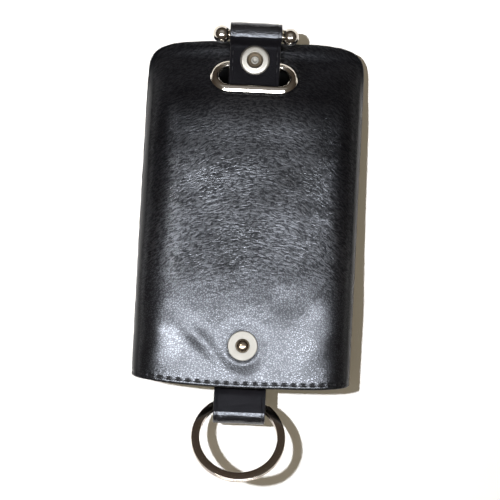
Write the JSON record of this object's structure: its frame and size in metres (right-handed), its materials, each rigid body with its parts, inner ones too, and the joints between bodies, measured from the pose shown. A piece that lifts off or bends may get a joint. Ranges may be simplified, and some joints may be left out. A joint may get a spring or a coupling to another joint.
{
  "type": "key case",
  "caption": "Leather pull-up key case: a strap with a split ring slides through an oval eyelet into a flat pouch and snaps down over its front.",
  "frame": {"origin": "on the face that the case rests on, under the middle of the pouch", "axes": "+Y along the case to the bar at the top, +Z out of the front, +X to the right seen from the front"},
  "size_m": [0.07, 0.1458, 0.0256],
  "materials": {
    "pouch_leather": "semi-gloss, fine pebble grain",
    "strap_leather": "semi-gloss, fine pebble grain",
    "lining": "matt woven lining",
    "thread": "waxed black thread",
    "nickel": "polished nickel plate",
    "snap_metal": "pale nickel plate, slightly worn",
    "ring_steel": "polished flat wire"
  },
  "bodies": {
    "case": {"front_panel": "pouch_leather", "back_panel": "pouch_leather", "front_lining": "lining", "back_lining": "lining", "hem_stitches_front": "thread", "hem_stitches_back": "thread", "seam_thread": "thread", "eyelet_rim": "nickel", "eyelet_washer": "nickel", "snap_stud": "snap_metal", "stud_rivet": "nickel"},
    "strap": {"strap_face": "strap_leather", "strap_backing": "strap_leather", "strap_stitches": "thread"},
    "head": {"head_face": "strap_leather", "head_backing": "strap_leather", "head_stitches": "thread", "snap_socket": "snap_metal", "socket_spring": "snap_metal", "socket_rivet": "nickel"},
    "bar": {"bar_rod": "nickel", "ball_left": "nickel", "ball_right": "nickel"},
    "ring": {"key_ring": "ring_steel"}
  },
  "joints": [
    {"name": "strap_slide", "type": "slide", "parent": "case", "child": "strap", "axis": [0, 0.9999, 0.0122], "range_m": [0, 0.073]},
    {"name": "head_fold", "type": "hinge", "parent": "strap", "child": "head", "pos_m": [0, 0.04289, 0.01115], "axis": [1, 0, 0], "range_deg": [0, 105]},
    {"name": "bar_turn", "type": "hinge", "parent": "head", "child": "bar", "pos_m": [0, 0.05715, 0.01042], "axis": [1, 0, 0], "continuous": true},
    {"name": "ring_swing", "type": "hinge", "parent": "strap", "child": "ring", "pos_m": [0, -0.06215, 0.00896], "axis": [1, 0, 0], "range_deg": [0, 46.1]}
  ],
  "couplings": [
    {"joint": "ring_swing", "follows": "strap_slide", "rad_per_m": 11}
  ]
}
